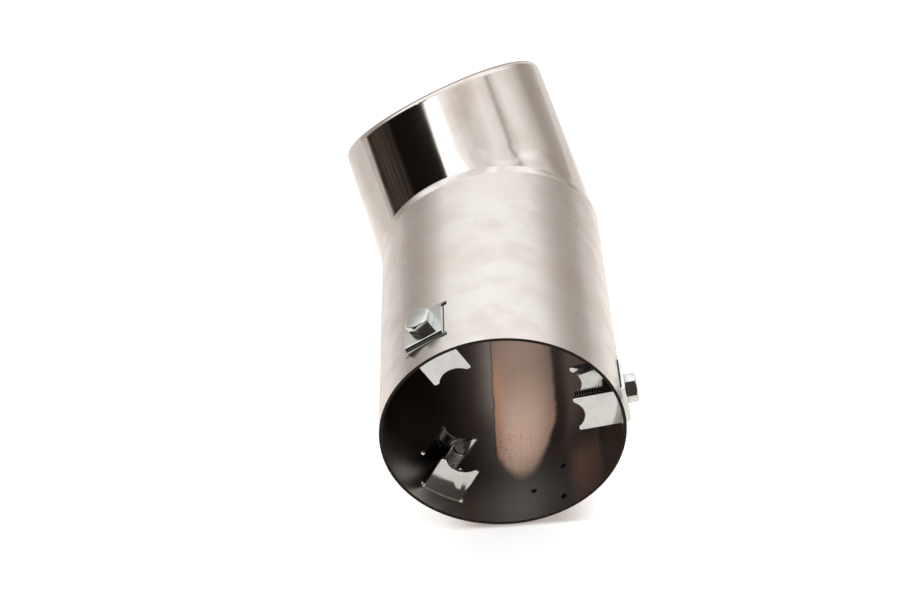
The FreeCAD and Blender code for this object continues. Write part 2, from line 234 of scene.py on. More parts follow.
def covered(tree: Tree, values: Values, fades: tuple[Fade, ...], strength: float = 1.0) -> Any:
    """Work out how much of a tint shows, as the product of its fades.

    Args:
        tree: The material's tree.
        values: The surface's values by name.
        fades: The fades.
        strength: The most that shows.

    Returns:
        The output of the share, 0 to the strength, or the strength itself where there are no fades.
    """
    share: Any = strength
    for fade in fades:
        let_through = add_node(
            tree, "ShaderNodeMapRange", SMOOTH,
            {"Value": values[fade.value], "From Min": fade.none, "From Max": fade.full})
        product = add_node(tree, "ShaderNodeMath", MULTIPLY, {0: let_through.outputs[0], 1: share})
        share = product.outputs[0]
    return share


def tinted(tree: Tree, values: Values, ground: Any, tints: tuple[Tint, ...]) -> Any:
    """Lay tints over a ground colour, one after another.

    Args:
        tree: The material's tree.
        values: The surface's values by name.
        ground: The colour under them, or its output.
        tints: The tints, from the lowest up.

    Returns:
        The output of the finished colour.
    """
    colour = ground
    for tint in tints:
        share = covered(tree, values, tint.fades, tint.strength)
        mixed = add_node(tree, "ShaderNodeMix", COLOURS, {0: share, 6: colour, 7: linear(tint.colour)})
        colour = mixed.outputs[2]
    return colour


@dataclass(frozen=True)
class Grain:
    """Soft grains: their size along each coordinate, in millimetres, and the octaves of finer grain."""

    size: tuple[float, float, float]
    detail: float


def grains(tree: Tree, point: Socket, grain: Grain) -> Socket:
    """Scatter soft grains that have a real size each way.

    Args:
        tree: The material's tree.
        point: The coordinates, in metres.
        grain: The grains.

    Returns:
        A value that wanders round 0.5.
    """
    scale = tuple(1.0 / (length * MM) for length in grain.size)
    scaled = add_node(tree, "ShaderNodeVectorMath", MULTIPLY, {0: point, 1: scale})
    noise = add_node(
        tree, "ShaderNodeTexNoise",
        sockets={"Vector": scaled.outputs[0], "Scale": 1.0, "Detail": grain.detail})
    return noise.outputs[0]


def finish_metal(tree: Tree, colour: Any, roughness: Any, normal: Socket | None = None) -> None:
    """End a material as a metal.

    Args:
        tree: The material's tree.
        colour: Its colour, or the colour's output.
        roughness: Its roughness, or the roughness's output.
        normal: The output of its bumps, if it has any.
    """
    sockets = {"Base Color": colour, "Metallic": 1.0, "Roughness": roughness}
    if normal is not None:
        sockets["Normal"] = normal
    shader = add_node(tree, "ShaderNodeBsdfPrincipled", sockets=sockets)
    add_node(tree, "ShaderNodeOutputMaterial", sockets={"Surface": shader.outputs[0]})


OUTER_SIDE = (Fade("radius", MID_WALL - 0.1 * MM, MID_WALL + 0.1 * MM),)


@dataclass(frozen=True)
class SatinStainless:
    """Rolled stainless sheet, brushed round the tube: a soft wide highlight with faint rings and clouds.

    Inside, the sheet is dull, and light and shade are painted on it: it is painted grey at the mouth,
    where the light comes in, and painted dark further in, where shade falls. A brown tongue with a
    rounded end, which lies beside the lengthwise weld seam, is a painted reflection.
    A few tack marks stand beside the tongue.
    Places inside are measured across from the seam and along from the mouth.
    """

    name: str = "satin_stainless_sheet"
    outside: str = "#D3CEC9"
    outside_tints: tuple[Tint, ...] = (
        Tint("#C4BCB5", (Fade("clouds", 0.4, 0.7),), 0.6),
        Tint("#CEC4BC", (Fade("patches", 0.5, 0.72),), 0.6),
        Tint("#C2BBB5", (Fade("coarse_rings", 0.5, 0.8),), 0.15),
    )
    outside_roughness: tuple[float, float] = (0.23, 0.29)
    # The inside's dull colour, which far in stands for painted shade as well.
    inside: str = "#3A3634"
    inside_light_and_shade: tuple[Tint, ...] = (
        # Painted light: paler to the right of the seam, and more so far in.
        Tint("#625B57", (Fade("across", -15.0 * MM, 0.0),)),
        Tint("#857A74", (Fade("across", -9.0 * MM, 1.0 * MM), Fade("along", 42.0 * MM, 58.0 * MM))),
        # Painted shade: a dark border right of the tongue's painted reflection, and grey again beyond it.
        Tint("#3F3A38", (
            Fade("across", 10.0 * MM, 15.0 * MM), Fade("depth", -8.0 * MM, 8.0 * MM),
            Fade("along", 19.0 * MM, 34.0 * MM))),
        Tint("#6E6663", (Fade("across", 22.5 * MM, 26.0 * MM), Fade("along", 20.0 * MM, 40.0 * MM))),
        # Painted light: pale at the mouth, where the light comes in, with a brown patch on the right that is
        # partly a brown deposit and partly painted light.
        Tint("#B4AFAB", (Fade("along", 24.0 * MM, 0.0),)),
        Tint("#FCD2BE", (
            Fade("across", 21.5 * MM, 27.0 * MM), Fade("across", 33.0 * MM, 31.2 * MM),
            Fade("along", 30.0 * MM, 11.0 * MM))),
    )
    # Painted reflection: the pale tongue beside the seam, with its middle, spread, colour, tints and edge.
    tongue_middle: float = 8.5 * MM
    tongue_spread: float = 5.9 * MM
    tongue_reflection: str = "#E8C6B0"
    tongue_reflection_tints: tuple[Tint, ...] = (
        # Painted shade: darker far in the tube; also darker in patches.
        Tint("#8E776A", (Fade("along", 20.0 * MM, 78.0 * MM),)),
        Tint("#7A655A", (Fade("patches", 0.45, 0.75),), 0.35),
        # Heat tint along the seam, and specks of soot towards the mouth.
        Tint("#C08A6A", (
            Fade("across", 5.5 * MM, 0.0), Fade("along", 22.0 * MM, 36.0 * MM),
            Fade("along", 92.0 * MM, 60.0 * MM)), 0.7),
        Tint("#8F6650", (
            Fade("specks", 0.56, 0.72), Fade("across", 18.0 * MM, 2.0 * MM),
            Fade("along", 60.0 * MM, 35.0 * MM)), 0.6),
    )
    tongue_reflection_edge: tuple[Fade, ...] = (
        Fade("depth", 17.0 * MM, 24.0 * MM), Fade("across", -0.3 * MM, 0.3 * MM),
        Fade("across", 21.4 * MM, 19.6 * MM), Fade("z", 0.0, -4.0 * MM))
    marks: tuple[Tint, ...] = (
        # The weld seam, the tack marks and the rolling streaks.
        Tint("#3F3A38", (
            Fade("across", -0.6 * MM, -0.1 * MM), Fade("across", 0.5 * MM, 0.0),
            Fade("along", 24.0 * MM, 34.0 * MM), Fade("z", 0.0, -4.0 * MM)), 0.6),
        Tint("#1A1512", (Fade("off_tack", 1.3 * MM, 0.7 * MM),)),
        Tint("#4A4038", (Fade("streaks", 0.5, 0.8),), 0.15),
    )
    # Painted shade: the cut end face of the sheet at the mouth is painted dark.
    shaded_cut_edge: tuple[Tint, ...] = (Tint("#2A2522", (Fade("along", 0.06 * MM, 0.02 * MM),)),)
    inside_roughness: float = 0.34
    seam_turn: float = math.radians(-95.0)
    seam_wander: float = 0.25 * MM
    seam_grain: Grain = Grain((8.0, 5.0, 8.0), 3.0)
    tacks: tuple[Vector, ...] = (
        Vector((18.3, 18.9, -32.2)) * MM, Vector((8.3, 12.3, -36.1)) * MM,
        Vector((17.7, 5.3, -32.5)) * MM,
    )
    # Brush marks are 0.02 mm wide and 15 to 30 mm long; they are drawn 0.5 mm wide to show.
    ring_grain: Grain = Grain((24.0, 0.5, 40.0), 2.0)
    coarse_ring_grain: Grain = Grain((60.0, 2.6, 40.0), 1.0)
    # Rolling marks along the tube are 0.1 mm wide; they are drawn 1 mm wide to show.
    streak_grain: Grain = Grain((1.0, 45.0, 40.0), 2.0)
    # Specks of soot are 0.1 to 0.3 mm wide; they are drawn 0.7 mm wide to show.
    speck_grain: Grain = Grain((0.7, 1.2, 0.7), 1.0)
    cloud_grain: Grain = Grain((11.0, 9.0, 11.0), 3.0)
    patch_grain: Grain = Grain((30.0, 26.0, 30.0), 2.0)
    ring_depth: float = 0.02 * MM
    ring_strength: float = 0.2

    def seam(self, tree: Tree, values: Values) -> Socket:
        """Measure across the sheet from its weld seam.

        Args:
            tree: The material's tree.
            values: The tube's values.

        Returns:
            Metres from the seam, positive to the right of it.
        """
        towards_x = add_node(
            tree, "ShaderNodeMath", MULTIPLY, {0: values["x"], 1: -math.sin(self.seam_turn)})
        across = add_node(
            tree, "ShaderNodeMath", MULTIPLY_ADD,
            {0: values["z"], 1: math.cos(self.seam_turn), 2: towards_x.outputs[0]})
        wander = add_node(
            tree, "ShaderNodeMapRange", sockets={
                "Value": grains(tree, values["point"], self.seam_grain),
                "From Min": NOISE_LOW, "From Max": NOISE_HIGH,
                "To Min": -self.seam_wander, "To Max": self.seam_wander})
        total = add_node(
            tree, "ShaderNodeMath", {"operation": "ADD"}, {0: across.outputs[0], 1: wander.outputs[0]})
        return total.outputs[0]

    def depth(self, tree: Tree, values: Values) -> Socket:
        """Measure how far in a point lies, less off the tongue's middle, so that the tongue's end is round.

        Args:
            tree: The material's tree.
            values: The tube's values.

        Returns:
            Metres from the mouth at the tongue's middle, and less beside it.
        """
        off = add_node(tree, "ShaderNodeMath", SUBTRACT, {0: values["across"], 1: self.tongue_middle})
        square = add_node(tree, "ShaderNodeMath", MULTIPLY, {0: off.outputs[0], 1: off.outputs[0]})
        rounded = add_node(
            tree, "ShaderNodeMath", MULTIPLY_ADD,
            {0: square.outputs[0], 1: -1.0 / self.tongue_spread, 2: values["along"]})
        return rounded.outputs[0]

    def off_tack(self, tree: Tree, point: Socket) -> Socket:
        """Measure how far the nearest tack mark is.

        Args:
            tree: The material's tree.
            point: The point on the surface.

        Returns:
            Metres from it.
        """
        nearest: Any = 1.0
        for tack in self.tacks:
            away = add_node(tree, "ShaderNodeVectorMath", DISTANCE, {0: point, 1: tack})
            lesser = add_node(
                tree, "ShaderNodeMath", {"operation": "MINIMUM"}, {0: away.outputs["Value"], 1: nearest})
            nearest = lesser.outputs[0]
        return nearest

    def material(self) -> bpy.types.Material:
        """Build the material.

        Returns:
            The material.
        """
        material, tree = new_material(self.name)
        values = TubeCoordinates(tree, Sleeve.INLET).outputs()
        point = values["point"]
        wrapped = add_node(
            tree, "ShaderNodeCombineXYZ",
            sockets={0: values["around"], 1: values["along"], 2: values["radius"]}).outputs[0]
        values["coarse_rings"] = grains(tree, wrapped, self.coarse_ring_grain)
        values["streaks"] = grains(tree, wrapped, self.streak_grain)
        values["clouds"] = grains(tree, point, self.cloud_grain)
        values["patches"] = grains(tree, point, self.patch_grain)
        values["specks"] = grains(tree, point, self.speck_grain)
        values["across"] = self.seam(tree, values)
        values["depth"] = self.depth(tree, values)
        values["off_tack"] = self.off_tack(tree, point)
        is_outside = covered(tree, values, OUTER_SIDE)
        colour = self.colour(tree, values, is_outside)
        low, high = self.outside_roughness
        outside_roughness = add_node(
            tree, "ShaderNodeMapRange", sockets={
                "Value": values["clouds"], "From Min": NOISE_LOW, "From Max": NOISE_HIGH,
                "To Min": low, "To Max": high})
        roughness = add_node(
            tree, "ShaderNodeMix", {"data_type": "FLOAT"},
            {0: is_outside, 2: self.inside_roughness, 3: outside_roughness.outputs[0]})
        rings = grains(tree, wrapped, self.ring_grain)
        bump = add_node(
            tree, "ShaderNodeBump",
            sockets={"Strength": self.ring_strength, "Distance": self.ring_depth, "Height": rings})
        finish_metal(tree, colour, roughness.outputs[0], bump.outputs[0])
        return material

    def colour(self, tree: Tree, values: Values, is_outside: Socket) -> Socket:
        """Lay the colours of both sides.

        Args:
            tree: The material's tree.
            values: The tube's values and the patterns.
            is_outside: The share of the outside.

        Returns:
            The output of the finished colour.
        """
        outside = tinted(tree, values, linear(self.outside), self.outside_tints)
        # The inside gets its painted light and shade, and over it goes the tongue's painted reflection.
        inside = tinted(tree, values, linear(self.inside), self.inside_light_and_shade)
        tongue_reflection = tinted(tree, values, linear(self.tongue_reflection), self.tongue_reflection_tints)
        on_tongue_reflection = covered(tree, values, self.tongue_reflection_edge)
        marked = add_node(tree, "ShaderNodeMix", COLOURS, {0: on_tongue_reflection, 6: inside, 7: tongue_reflection})
        inside = tinted(tree, values, marked.outputs[2], self.marks)
        sheet = add_node(tree, "ShaderNodeMix", COLOURS, {0: is_outside, 6: inside, 7: outside})
        return tinted(tree, values, sheet.outputs[2], self.shaded_cut_edge)


@dataclass(frozen=True)
class PolishedStainless:
    """Stainless sheet buffed to a mirror: clear bands of the room, a little wavy, with faint smears.

    The heat of the weld has pulled the sheet into dents beside the joint, most of them on the right.
    """

    name: str = "polished_stainless_sheet"
    outside: str = "#D3CDC7"
    smears: tuple[Tint, ...] = (Tint("#C3B7AD", (Fade("smears", 0.45, 0.75),), 0.8),)
    inside: str = "#A08E82"
    dented: tuple[Fade, ...] = (
        Fade("off_joint", 11.0 * MM, 1.0 * MM), Fade("around", -10.0 * MM, 6.0 * MM))
    roughness: tuple[float, float] = (0.07, 0.14)
    smear_range: tuple[float, float] = (0.35, 0.75)
    smear_grain: Grain = Grain((9.0, 16.0, 9.0), 3.0)
    wave_grain: Grain = Grain((22.0, 30.0, 22.0), 1.0)
    wave_depth: float = 0.5 * MM
    wave_strength: float = 0.25
    dent_grain: Grain = Grain((9.0, 9.0, 9.0), 0.0)
    dent_depth: float = 0.7 * MM
    dent_range: tuple[float, float] = (0.2, 0.8)
    dent_least: float = 0.45

    def material(self) -> bpy.types.Material:
        """Build the material.

        Returns:
            The material.
        """
        material, tree = new_material(self.name)
        values = TubeCoordinates(tree, Sleeve.OUTLET).outputs()
        point = values["point"]
        values["smears"] = grains(tree, point, self.smear_grain)
        outside = tinted(tree, values, linear(self.outside), self.smears)
        is_outside = covered(tree, values, OUTER_SIDE)
        colour = add_node(
            tree, "ShaderNodeMix", COLOURS, {0: is_outside, 6: linear(self.inside), 7: outside})
        clean, smeared = self.smear_range
        low, high = self.roughness
        roughness = add_node(
            tree, "ShaderNodeMapRange", sockets={
                "Value": values["smears"], "From Min": clean, "From Max": smeared,
                "To Min": low, "To Max": high})
        waves = add_node(
            tree, "ShaderNodeBump", sockets={
                "Strength": self.wave_strength, "Distance": self.wave_depth,
                "Height": grains(tree, point, self.wave_grain)})
        bump = add_node(
            tree, "ShaderNodeBump", sockets={
                "Strength": 1.0, "Distance": self.dent_depth, "Height": self.dents(tree, values),
                "Normal": waves.outputs[0]})
        finish_metal(tree, colour.outputs[2], roughness.outputs[0], bump.outputs[0])
        return material

    def dents(self, tree: Tree, values: Values) -> Socket:
        """Pull the sheet into dents beside the joint.

        Args:
            tree: The material's tree.
            values: The tube's values, which get the distance off the joint too.

        Returns:
            The output of the dents' height.
        """
        place = add_node(tree, "ShaderNodeTexCoord").outputs["Object"]
        offset = add_node(tree, "ShaderNodeVectorMath", SUBTRACT, {0: place, 1: MITRE_CENTRE})
        beyond = add_node(
            tree, "ShaderNodeVectorMath", DOT_PRODUCT, {0: offset.outputs[0], 1: MITRE_NORMAL})
        values["off_joint"] = beyond.outputs["Value"]
        low, high = self.dent_range
        uneven = add_node(
            tree, "ShaderNodeMapRange", SMOOTH, {
                "Value": grains(tree, values["point"], self.dent_grain),
                "From Min": low, "From Max": high, "To Min": self.dent_least, "To Max": 1.0})
        pulled = add_node(
            tree, "ShaderNodeMath", MULTIPLY,
            {0: uneven.outputs[0], 1: covered(tree, values, self.dented)})
        return pulled.outputs[0]


@dataclass(frozen=True)
class BuffedWeld:
    """A weld bead ground and buffed down into both sleeves: pale, smooth, a little cloudy."""

    name: str = "buffed_weld_bead"
    pale: str = "#D8D3CE"
    clouds: tuple[Tint, ...] = (Tint("#C4BCB5", (Fade("clouds", 0.4, 0.7),)),)
    roughness: float = 0.2
    cloud_grain: Grain = Grain((7.0, 7.0, 7.0), 2.0)

    def material(self) -> bpy.types.Material:
        """Build the material.

        Returns:
            The material.
        """
        material, tree = new_material(self.name)
        point = add_node(tree, "ShaderNodeTexCoord").outputs["Object"]
        values = {"clouds": grains(tree, point, self.cloud_grain)}
        finish_metal(tree, tinted(tree, values, linear(self.pale), self.clouds), self.roughness)
        return material


@dataclass(frozen=True)
class BrightZinc:
    """Mild steel with bright zinc plating: a clean, pale metal with faint rolling marks and clouds.

    Other tones of it are painted light and shade on a thread: a painted highlight on its flanks and painted
    shade in its root; one more, darker tone is used for the nuts.
    """

    name: str = "bright_zinc_plate"
    pale: str = "#D3D7D6"
    cloud: str = "#C9CDCC"
    roughness: float = 0.11
    roughness_spread: float = 0.05
    cloud_grain: Grain = Grain((3.0, 3.0, 3.0), 2.0)
    # Rolling marks are about 0.05 mm wide; they are drawn 0.35 mm wide to show.
    mark_grain: Grain = Grain((6.0, 0.35, 6.0), 2.0)
    mark_depth: float = 0.01 * MM
    mark_strength: float = 0.2

    def material(self) -> bpy.types.Material:
        """Build the material.

        Returns:
            The material.
        """
        material, tree = new_material(self.name)
        point = add_node(tree, "ShaderNodeTexCoord").outputs["Object"]
        values = {"clouds": grains(tree, point, self.cloud_grain)}
        clouds = (Tint(self.cloud, (Fade("clouds", 0.4, 0.75),)),)
        roughness = add_node(
            tree, "ShaderNodeMapRange", sockets={
                "Value": values["clouds"], "From Min": NOISE_LOW, "From Max": NOISE_HIGH,
                "To Min": self.roughness, "To Max": self.roughness + self.roughness_spread})
        bump = add_node(
            tree, "ShaderNodeBump", sockets={
                "Strength": self.mark_strength, "Distance": self.mark_depth,
                "Height": grains(tree, point, self.mark_grain)})
        colour = tinted(tree, values, linear(self.pale), clouds)
        finish_metal(tree, colour, roughness.outputs[0], bump.outputs[0])
        return material


# Painted highlight on the thread's flanks, and painted shade in its root.
LIT_FLANK_ZINC = BrightZinc("painted_highlight_thread", pale="#FAF9F7", cloud="#EEEDEB", roughness=0.45)
ROOT_ZINC = BrightZinc("shaded_thread_root", pale="#2E2D2B", cloud="#201F1E", roughness=0.4)
# The nuts take a darker, rougher tone.
DARKER_NUT = BrightZinc("darker_nut_plate", pale="#5A5754", cloud="#3A3836", roughness=0.35)


def merged_copy(node: str) -> bmesh.types.BMesh:
    """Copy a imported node's mesh and join its loose triangles into whole faces.

    Args:
        node: The node's name.

    Returns:
        The mesh, in the row frame.
    """
    mesh = bmesh.new()
    mesh.from_mesh(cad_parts[node].data)
    bmesh.ops.remove_doubles(mesh, verts=mesh.verts, dist=SAME_POINT)
    bmesh.ops.dissolve_limit(
        mesh, angle_limit=SAME_PLANE, use_dissolve_boundaries=False, verts=mesh.verts, edges=mesh.edges)
    return mesh


def soften_edges(mesh: bmesh.types.BMesh, width: float, sharper_than: float) -> None:
    """Round the sharp edges of a mesh a little, as tumbling and plating leave them.

    Args:
        mesh: The mesh to change.
        width: How far the rounding reaches from the edge, in metres.
        sharper_than: The angle in degrees from which an edge counts as sharp.
    """
    limit = math.radians(sharper_than)
    edges = [e for e in mesh.edges if len(e.link_faces) == 2 and e.calc_face_angle(0.0) > limit]
    bmesh.ops.bevel(
        mesh, geom=edges, offset=width, offset_type="OFFSET", affect="EDGES", segments=2, profile=0.5,
        material=-1, clamp_overlap=True)


def add_piece(
        mesh: bmesh.types.BMesh, name: str, body: str,
        materials: list[bpy.types.Material]) -> bpy.types.Object:
    """Turn a finished mesh into an object that rides on a body.

    Args:
        mesh: The mesh, in the row frame.
        name: The piece's name.
        body: The body that it moves with.
        materials: Its materials, in the order of its faces' numbers.

    Returns:
        The object.
    """
    data = bpy.data.meshes.new(name)
    mesh.to_mesh(data)
    mesh.free()
    data.shade_smooth()
    data.set_sharp_from_angle(angle=SHADED_SHARP)
    for material in materials:
        data.materials.append(material)
    piece = bpy.data.objects.new(name, data)
    bpy.context.scene.collection.objects.link(piece)
    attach(piece, body)
    log.info("%s: %d faces on %s", name, len(data.polygons), body)
    return piece


def dress_node(node: str, material: bpy.types.Material) -> None:
    """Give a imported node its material.

    Args:
        node: The node's name.
        material: Its material.
    """
    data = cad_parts[node].data
    data.materials.clear()
    data.materials.append(material)
    log.info("%s: dressed in %s", node, material.name)


@dataclass(frozen=True)
class WeldBead:
    """The bead round the mitre: a low, soft ridge that runs out into both sleeves, and a plain back."""

    half_width: float = 2.4 * MM
    height: float = 0.3 * MM
    sink: float = 0.12 * MM
    depth: float = 0.75 * MM
    back_share: float = 0.5
    steps_round: int = 288
    steps_across: int = 8
    same_point: float = 0.01 * MM
    easing: int = 24
    eased_width: float = 0.8
    eased_depth: float = 0.5

    def half_section(self) -> list[tuple[float, float]]:
        """The outline of the bead's half on the inlet sleeve, from the top of the ridge round to its back.

        Returns:
            Places before the joint, each with a height over the sleeve.
        """
        points = []
        for step in range(self.steps_across + 1):
            share = step / self.steps_across
            rise = 0.5 + 0.5 * math.cos(math.pi * share)
            points.append((share * self.half_width, rise * (self.height + self.sink) - self.sink))
        return points + [(self.half_width * self.back_share, -self.depth), (0.0, -self.depth)]

    def build(self, material: bpy.types.Material) -> None:
        """Spin the inlet's half, lean its end on to the mitre, mirror it on to the outlet and ease the top.

        Args:
            material: Its finish.
        """
        mesh = bmesh.new()
        verts = [
            mesh.verts.new(MITRE_CENTRE + SIDEWAYS * (SLEEVE_RADIUS + up) - ALONG_INLET * before)
            for before, up in self.half_section()]
        edges = [mesh.edges.new(pair) for pair in zip(verts, verts[1:])]
        bmesh.ops.spin(
            mesh, geom=verts + edges, cent=MITRE_CENTRE, axis=ALONG_INLET, angle=math.tau,
            steps=self.steps_round, use_merge=True)
        there = Matrix.Translation(MITRE_CENTRE)
        lean = Matrix.Identity(4)
        slope = -math.tan(BEND_ANGLE / 2.0)
        lean[1][0] = slope * SIDEWAYS.x
        lean[1][2] = slope * SIDEWAYS.z
        bmesh.ops.transform(mesh, matrix=there @ lean @ there.inverted(), verts=mesh.verts)
        everything = list(mesh.verts) + list(mesh.edges) + list(mesh.faces)
        copied = bmesh.ops.duplicate(mesh, geom=everything)["geom"]
        mirror = Matrix.Scale(-1.0, 4, MITRE_NORMAL)
        bmesh.ops.transform(
            mesh, matrix=there @ mirror @ there.inverted(),
            verts=[part for part in copied if isinstance(part, bmesh.types.BMVert)])
        bmesh.ops.remove_doubles(mesh, verts=mesh.verts, dist=self.same_point)
        bmesh.ops.recalc_face_normals(mesh, faces=mesh.faces)
        top = [v for v in mesh.verts if self.is_on_top(v.co)]
        for _ in range(self.easing):
            bmesh.ops.smooth_vert(
                mesh, verts=top, factor=0.5, use_axis_x=True, use_axis_y=True, use_axis_z=True)
        piece = add_piece(mesh, "buffed_weld_bead", "tip", [material])
        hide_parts("mitre_weld")

    def is_on_top(self, point: Vector) -> bool:
        """Tell the ridge's top from its edges and its back.

        Args:
            point: A point of the bead.

        Returns:
            True near the joint and above the back.
        """
        offset = point - MITRE_CENTRE
        beyond = offset.dot(MITRE_NORMAL)
        off_axis = (offset - MITRE_NORMAL * beyond).length
        is_near = abs(beyond) < self.eased_width * self.half_width
        return is_near and off_axis > SLEEVE_RADIUS - self.eased_depth * self.depth


@dataclass
class Sleeves:
    """The inlet sleeve and the outlet sleeve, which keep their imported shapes, and the bead between them."""

    satin: SatinStainless = SatinStainless()
    polished: PolishedStainless = PolishedStainless()
    weld: BuffedWeld = BuffedWeld()
    bead: WeldBead = WeldBead()

    def build(self) -> None:
        """Dress the two sleeves and make the bead."""
        dress_node("inlet_sleeve", self.satin.material())
        dress_node("outlet_sleeve", self.polished.material())
        self.bead.build(self.weld.material())


@dataclass
class BoltOnClamp:
    """One clamp: its bracket with eased edges, its bolt with a real thread, and its nut."""

    place: ClampPlace
    plating: bpy.types.Material
    lit_flank: bpy.types.Material
    root: bpy.types.Material
    nut: bpy.types.Material
    edge_width: float = 0.07 * MM
    sharp_on_bracket: float = 35.0
    sharp_on_head: float = 25.0
    seat: float = 39.2 * MM
    bolt_length: float = 16.0 * MM
    thread_radius: float = 2.5 * MM
    root_radius: float = 2.0 * MM
    pitch: float = 0.8 * MM
    tip_chamfer: float = 0.6 * MM
    steps_per_turn: int = 40
    # The helix starts below the free end and runs on past the seat, and is cut square at both.
    pitches_below: float = 1.5
    pitches_spare: float = 2.0
    above_seat: float = 0.5 * MM
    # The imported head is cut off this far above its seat.
    head_cut: float = 0.01 * MM
    same_point: float = 0.004 * MM
    # A face whose normal points this much along the bolt is one of its ends.
    end_facing: float = 0.99

    def build(self) -> None:
        """Build the clamp's pieces."""
        self.build_bracket()
        self.build_bolt()
        dress_node("clamp_nut_" + self.place.label, self.nut)

    def build_bracket(self) -> None:
        """Make the bent strip with its edges eased."""
        label = self.place.label
        node = "clamp_bracket_" + label
        mesh = merged_copy(node)
        soften_edges(mesh, self.edge_width, self.sharp_on_bracket)
        piece = add_piece(
            mesh, "bracket_strip_" + label, "bracket_" + label, [self.plating])
        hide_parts(node)

    def build_bolt(self) -> None:
        """Make the bolt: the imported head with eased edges, on a turned thread."""
        label = self.place.label
        node = "clamp_bolt_" + label
        mesh = merged_copy(node)
        outwards = self.place.placement.to_3x3() @ Vector((0.0, 0.0, 1.0))
        seat = self.place.placement @ Vector((0.0, 0.0, self.seat))
        everything = list(mesh.verts) + list(mesh.edges) + list(mesh.faces)
        bmesh.ops.bisect_plane(
            mesh, geom=everything, dist=ON_THE_CUT, plane_co=seat + outwards * self.head_cut,
            plane_no=outwards, clear_inner=True)
        bmesh.ops.holes_fill(mesh, edges=[e for e in mesh.edges if e.is_boundary], sides=0)
        soften_edges(mesh, self.edge_width, self.sharp_on_head)
        thread = self.thread()
        scratch = bpy.data.meshes.new("thread")
        thread.to_mesh(scratch)
        thread.free()
        mesh.from_mesh(scratch)
        bpy.data.meshes.remove(scratch)
        piece = add_piece(
            mesh, "hexagon_bolt_" + label, "bolt_" + label,
            [self.plating, self.lit_flank, self.root])
        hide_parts(node)

    def thread(self) -> bmesh.types.BMesh:
        """Spin one tooth's outline up a helix, cut both ends square and chamfer the free one.

        Returns:
            The closed shank, in the row frame.
        """
        mesh = bmesh.new()
        free_end = self.seat - self.bolt_length
        start = free_end - self.pitches_below * self.pitch
        flat = self.pitch / 8.0
        mid_flank = (self.root_radius + self.thread_radius) / 2.0
        outline = [
            (self.root_radius, 0.0), (self.root_radius, flat), (mid_flank, (self.pitch + flat) / 4.0),
            (self.thread_radius, self.pitch / 2.0 - flat / 2.0),
            (self.thread_radius, self.pitch / 2.0 + flat / 2.0),
            (mid_flank, (3.0 * self.pitch) / 4.0), (self.root_radius, self.pitch - flat / 2.0),
            (self.root_radius, self.pitch),
        ]
        verts = [mesh.verts.new((across, 0.0, start + up)) for across, up in outline]
        edges = [mesh.edges.new(pair) for pair in zip(verts, verts[1:])]
        turns = math.ceil((self.bolt_length + self.pitches_spare * self.pitch) / self.pitch) + 1
        steps = turns * self.steps_per_turn
        bmesh.ops.spin(
            mesh, geom=verts + edges, cent=(0.0, 0.0, 0.0), axis=(0.0, 0.0, 1.0),
            dvec=(0.0, 0.0, self.pitch / self.steps_per_turn), angle=turns * math.tau, steps=steps)
        bmesh.ops.remove_doubles(mesh, verts=mesh.verts, dist=self.same_point)
        for level, inner in ((free_end, True), (self.seat + self.above_seat, False)):
            everything = list(mesh.verts) + list(mesh.edges) + list(mesh.faces)
            bmesh.ops.bisect_plane(
                mesh, geom=everything, dist=ON_THE_CUT, plane_co=(0.0, 0.0, level),
                plane_no=(0.0, 0.0, 1.0), clear_inner=inner, clear_outer=not inner)
        bmesh.ops.holes_fill(mesh, edges=[e for e in mesh.edges if e.is_boundary], sides=0)
        for vert in mesh.verts:
            room = self.thread_radius - self.tip_chamfer + (vert.co.z - free_end)
            across = vert.co.xy.length
            if across > room:
                vert.co.x *= room / across
                vert.co.y *= room / across
        bmesh.ops.recalc_face_normals(mesh, faces=mesh.faces)
        # The flanks get the painted highlight, and the deep faces the painted shade.
        for face in mesh.faces:
            is_end = abs(face.normal.z) >= self.end_facing
            is_deep = face.calc_center_median().xy.length < mid_flank
            face.material_index = 2 if is_deep and not is_end else 1
        bmesh.ops.transform(mesh, matrix=self.place.placement @ self.place.head_turn, verts=mesh.verts)
        return mesh


